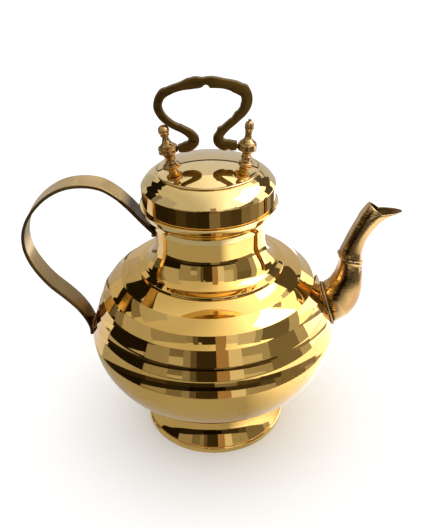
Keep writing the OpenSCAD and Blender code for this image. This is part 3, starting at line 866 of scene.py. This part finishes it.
# Marks of the casting on its edges: [x, z, reach, rise]. A hollow has a negative rise.
BAIL_MARKS = [
    (0.6, 256.6, 2.2, -1.1), (-27, 255.2, 3, 0.5), (-11.5, 261.4, 2.6, 0.3), (-2, 262.4, 3, -0.6),
    (25.4, 255.6, 2.6, 0.8), (16.8, 251.8, 1.8, 0.4), (20.6, 249.2, 1.4, -0.6), (22.4, 244.8, 2, 0.4),
    (18.7, 238.9, 1.5, 0.6), (15.8, 236.4, 1.2, -0.5), (8, 229.4, 1.7, 1.0), (6, 226.8, 1.2, -0.4),
    (-15.8, 232, 1.2, 0.5), (13.4, 215.2, 1.7, -0.8), (3.4, 255.6, 1.5, 0.4), (-14, 220.8, 1.6, 0.5),
]


def mark_bail(point, outward):
    for x, z, reach, rise in BAIL_MARKS:
        near = max(0, 1 - np.hypot(point[0] - x, point[1] - z) / reach)
        point = point + outward * rise * near * (2 - near) * 0.8
    return point


def make_bail():
    """A flat casting with bevelled edges, and a round pin at each end."""
    route = smooth_path(BAIL_ROUTE, 14)
    middle = [p[:2] for p in route]
    half_t, bevel = BAIL_T / 2, 0.5
    rings = []
    for i, p in enumerate(route):
        a, b = middle[max(i - 1, 0)], middle[min(i + 1, len(middle) - 1)]
        out = right_of(a, b)
        right = mark_bail(p[:2] + out * p[2] / 2, out)
        left = mark_bail(p[:2] - out * p[2] / 2, -out)
        centre, half = (right + left) / 2, (right - left) / 2
        half_w = np.hypot(*half)
        side = half / half_w
        quarter = [(half_w - bevel, half_t), (half_w - bevel * 0.5, half_t - bevel * 0.14),
                   (half_w - bevel * 0.14, half_t - bevel * 0.5), (half_w, half_t - bevel)]
        ring = quarter + [(u, -y) for u, y in quarter[::-1]]
        ring += [(0, -half_t)] + [(-u, -y) for u, y in quarter] + [(-u, y) for u, y in quarter[::-1]]
        ring.append((0, half_t))
        rings.append([(centre[0] + side[0] * u, y, centre[1] + side[1] * u) for u, y in ring])
    parts = [loft(rings)]
    left_pin = (BAIL_LEFT_X - PIN_REACH, BAIL_LEFT_X + 1)
    right_pin = (BAIL_RIGHT_X - 1, BAIL_RIGHT_X + PIN_REACH)
    for start, end in (left_pin, right_pin):
        outline = dense(rounded([vec(0, start), vec(PIN_R, start), vec(PIN_R, end), vec(0, end)], 0.3), 1)
        verts, faces = revolve(outline, 48)
        parts.append(([(pz, py, HINGE_Z + px) for px, py, pz in verts], faces))
    verts, faces = join(parts)
    mark_edges(new_piece("bail_casting", verts, faces, "bail", ["bail"], patina))


# ---- solder ----------------------------------------------------------------


def lump(t, seed):
    """A smooth hand-made unevenness from 0 to 1."""
    return 0.5 + 0.25 * math.sin(3 * t + seed) + 0.25 * math.sin(7.3 * t + 2 * seed)


STRAP_FOOT_X = -88.8


def make_handle_solder():
    strap_face_x = STRAP_FOOT_X + STRAP_T / 2
    pad_w, pad_h, fillet_r, fillet_w, fillet_z = STRAP_W - 1, 6, 1.5, STRAP_W - 2, 158.4
    pad, fillet = [], []
    for k in np.linspace(-1, 1, 41):
        y = k * pad_w / 2
        inner = -math.sqrt((BELLY_R + FIT) ** 2 - y * y)
        outer = strap_face_x + FIT + 0.03 * (1 - lump(9 * k, 1))
        low = SEAM_Z - pad_h / 2 + 0.5 * lump(8 * k, 2)
        high = SEAM_Z + pad_h / 2 - 0.5 * lump(8 * k, 4)
        corners = [vec(inner, low), vec(outer, low), vec(outer, high), vec(inner, high)]
        pad.append([(px, y, pz) for px, pz in corners])
        y = k * fillet_w / 2
        wall = -math.sqrt((NECK_R + FIT) ** 2 - y * y)
        radius = fillet_r - 0.35 * lump(7 * k, 3) - 0.6 * max(0, abs(k) - 0.85) / 0.15
        circle = arc((-NECK_R - 0.6, fillet_z), radius, radius, 0, 345, 23)
        fillet.append([(min(px, wall), y, pz) for px, pz in circle])
    verts, faces = join([loft(pad), loft(fillet)])
    piece = new_piece("handle_solder_bead", verts, faces, "pot", ["handle_solder"], filler)
    mark_edges(piece)


def make_spout_solder():
    path = []
    for p in base_ring(-0.5):
        away = vec(p[0], p[1], 0)
        path.append(p + away / np.linalg.norm(away) * 0.45)
    rings = []
    for i, p in enumerate(path):
        ahead = path[(i + 1) % len(path)] - path[i - 1]
        ahead /= np.linalg.norm(ahead)
        out = vec(p[0], p[1], 0) / np.hypot(p[0], p[1])
        side = np.cross(ahead, out)
        side /= np.linalg.norm(side)
        up = np.cross(side, ahead)
        radius = 0.9 - 0.2 * lump(math.radians(5 * i), 1)
        turns = np.radians(np.arange(0, 360, 22.5))
        rings.append([p + radius * (math.cos(t) * side + math.sin(t) * up) for t in turns])
    verts, faces = loft(rings, closed=True)
    mark_edges(new_piece("spout_solder_bead", verts, faces, "pot", ["spout_solder"], filler))


# ---- stage, light and camera -----------------------------------------------


def make_camera():
    """The camera stands in front of the pot and looks down on it."""
    pitch, roll = math.radians(30.69), math.radians(-1.78)
    ahead = Vector((0, math.cos(pitch), -math.sin(pitch)))
    right = Vector((1, 0, 0))
    up = right.cross(ahead)
    turned_right = math.cos(roll) * right + math.sin(roll) * up
    turned_up = -math.sin(roll) * right + math.cos(roll) * up
    data = bpy.data.cameras.new("camera")
    data.lens = 45.0
    camera = bpy.data.objects.new("camera", data)
    columns = Matrix((turned_right, turned_up, -ahead)).transposed()
    camera.matrix_world = Matrix.Translation((0.0018, -0.4, 0.368)) @ columns.to_4x4()
    bpy.context.scene.collection.objects.link(camera)
    bpy.context.scene.camera = camera


# Cards that only reflections see, in a ring round the pot. Azimuth 0 is behind
# the pot, 90 at its spout and 180 at the camera.
CARD_RING_R = 0.45
CARD_STEP = 0.0003
# Upright cards: [azimuth from, to, height from, to, brightness]. Each stands a
# step nearer to the pot than the one before.
WALL_CARDS = [
    (62, 92, 0.0, 0.2, 2.2), (54, 118, 0.46, 0.9, 4.0),
    (92, 104, 0.0, 0.44, 0.5), (104, 133, 0.0, 0.2, 0.22), (104, 133, 0.2, 0.42, 0.17),
    (133, 140, 0.04, 0.45, 0.4), (140, 157, 0.04, 0.13, 0.4), (140, 157, 0.13, 0.45, 0.65),
    (157, 168, 0.04, 0.4, 0.8), (178, 191, 0.04, 0.4, 0.04),
    (191, 194, 0.04, 0.35, 0.04), (194, 199, 0.04, 0.4, 0.12), (199, 205, 0.04, 0.36, 0.28),
    (205, 217, 0.04, 0.12, 0.2), (205, 217, 0.12, 0.21, 0.5), (205, 217, 0.21, 0.38, 0.32),
    (217, 240, 0.04, 0.38, 0.34), (240, 272, 0.125, 0.6, 0.48), (238, 280, 0.0, 0.125, 0.012),
    (172, 200, 0.0, 0.04, 0.006), (145, 172, 0.0, 0.04, 0.05), (133, 145, 0.0, 0.04, 0.1),
    (200, 238, 0.0, 0.04, 0.02), (272, 283, 0.125, 0.5, 0.25), (280, 302, 0.0, 0.04, 0.9),
    (283, 300, 0.04, 0.2, 0.14), (313, 332, 0.0, 0.41, 0.5), (332, 405, 0.0, 0.355, 0.6),
    (335, 400, 0.355, 0.375, 0.06), (332, 405, 0.375, 0.6, 0.75), (282, 300, 0.2, 0.42, 0.012),
    (289, 310, 0.28, 0.5, 0.012), (300, 321, 0.38, 0.58, 0.012), (316, 332, 0.48, 0.6, 0.012),
    (22, 44, 0.42, 0.52, 0.12), (38, 60, 0.28, 0.5, 0.1), (54, 73, 0.2, 0.36, 0.1),
]
# Flat cards on the floor: [azimuth from, to, radius from, to, brightness].
FLOOR_CARDS = [
    (250, 282, 0.34, 0.45, 0.022), (235, 250, 0.34, 0.45, 0.03), (217, 235, 0.34, 0.45, 0.06),
    (199, 217, 0.34, 0.45, 0.035), (180, 199, 0.34, 0.45, 0.028), (163, 180, 0.36, 0.45, 0.22),
    (145, 163, 0.34, 0.45, 0.09), (127, 145, 0.33, 0.45, 0.07), (109, 127, 0.33, 0.45, 0.22),
    (91, 109, 0.33, 0.45, 0.28), (73, 91, 0.36, 0.45, 0.45), (55, 73, 0.36, 0.45, 0.36),
    (36, 55, 0.36, 0.45, 0.14), (282, 310, 0.17, 0.45, 0.8), (310, 334, 0.36, 0.45, 0.14),
    (334, 354, 0.36, 0.45, 0.04),
]
COPPER_CARD = (168, 178, 0.04, 0.55, 0.4)


def make_floor():
    bpy.ops.mesh.primitive_plane_add(size=6, location=(0, 0, cad_box[0].z))
    floor = bpy.context.object
    floor.name = "floor"
    material = bpy.data.materials.new("floor_paper")
    n = Nodes(material)
    place = n.add("ShaderNodeSeparateXYZ", {0: n.add("ShaderNodeTexCoord").outputs["Object"]}).outputs
    # Glossy rays see the floor glow, darker to the left and front and brighter to the right and behind: a
    # painted reflection of the room. Everything else sees plain pale paper.
    far = n.clamped(n.math("MULTIPLY_ADD", place[1], 0.3, place[0]), 0.01, 0.13)
    reflected_floor_glow = n.mix(far, colour(0.44, 0.44, 0.43), colour(1.7, 1.72, 1.9))
    seen = n.add("ShaderNodeLightPath").outputs["Is Glossy Ray"]
    n.feed(n.shader.inputs["Base Color"], colour(0.87, 0.87, 0.86))
    n.feed(n.shader.inputs["Roughness"], 0.9)
    glow = n.add("ShaderNodeEmission", {"Color": reflected_floor_glow, "Strength": 1.0})
    share = n.add("ShaderNodeMixShader", {0: seen, 1: n.shader.outputs[0], 2: glow.outputs[0]})
    output = n.tree.nodes["Material Output"]
    n.feed(output.inputs["Surface"], share.outputs[0])
    floor.data.materials.append(material)


def card_colour(brightness):
    """Dark cards are brown and bright ones a little blue, as a lit room is."""
    t = math.log10(brightness / 0.4)
    if t < 0:
        t = max(t, -1)
        return colour(1, 1 + 0.25 * t, 1 + 0.6 * t)
    return colour(1, 1 + 0.05 * t, 1 + 0.6 * t)


def make_card(name, start, end, inner, outer, tint, brightness):
    """A card from azimuth start to end that lights reflections and nothing else.

    inner and outer are [radius, height] of its two long edges.
    """
    steps = max(1, round((end - start) / 6))
    verts, faces = [], []
    for i in range(steps + 1):
        t = math.radians(start + (end - start) * i / steps)
        verts += [(r * math.sin(t), r * math.cos(t), z) for r, z in (inner, outer)]
    for i in range(steps):
        faces.append((2 * i, 2 * i + 2, 2 * i + 3, 2 * i + 1))
    mesh = bpy.data.meshes.new(name)
    mesh.from_pydata(verts, [], faces)
    card = bpy.data.objects.new(name, mesh)
    bpy.context.scene.collection.objects.link(card)
    material = bpy.data.materials.new(name)
    n = Nodes(material)
    glow = n.add("ShaderNodeEmission", {"Color": tint, "Strength": brightness})
    n.feed(n.tree.nodes["Material Output"].inputs["Surface"], glow.outputs[0])
    mesh.materials.append(material)
    card.visible_camera = False
    card.visible_diffuse = False
    card.visible_shadow = False
    card.visible_transmission = False


def make_cards():
    lift = 0.002
    for number, (start, end, low, high, level) in enumerate(WALL_CARDS):
        ring = CARD_RING_R - number * CARD_STEP
        make_card(f"wall_card_{number}", start, end, (ring, low), (ring, high), card_colour(level), level)
    for number, (start, end, near, far, level) in enumerate(FLOOR_CARDS):
        make_card(f"floor_card_{number}", start, end, (near, lift), (far, lift), card_colour(level), level)
    start, end, low, high, level = COPPER_CARD
    ring = CARD_RING_R - len(WALL_CARDS) * CARD_STEP
    make_card("copper_card", start, end, (ring, low), (ring, high), colour(1, 0.7, 0.5), level)


def make_light():
    """A pale even studio. Reflections see it with a brighter right-hand side."""
    scene = bpy.context.scene
    scene.view_settings.view_transform = "Standard"
    world = bpy.data.worlds.new("studio")
    scene.world = world
    n = Nodes(world)
    back = n.tree.nodes["Background"]
    way = n.add("ShaderNodeSeparateXYZ", {0: n.add("ShaderNodeTexCoord").outputs["Generated"]}).outputs
    right = n.math("MULTIPLY_ADD", way[1], 0.17, way[0])
    share = n.clamped(right, -0.45, 0.4)
    room = n.mix(n.math("MULTIPLY", share, share), colour(0.62, 0.6, 0.56), colour(1.9, 1.9, 1.95))
    glossy = n.add("ShaderNodeLightPath").outputs["Is Glossy Ray"]
    n.feed(back.inputs[0], n.mix(glossy, colour(1.35, 1.35, 1.35), room))
    back.inputs[1].default_value = 1.0
    make_cards()


make_foot()
make_lower_bowl()
make_upper_bowl()
make_neck()
make_mouth_rim()
make_side_handle()
make_spout_root()
make_spout_beak()
make_lid()
make_left_post()
make_right_post()
make_post_washers()
make_bail()
make_handle_solder()
make_spout_solder()

make_camera()
make_floor()
make_light()
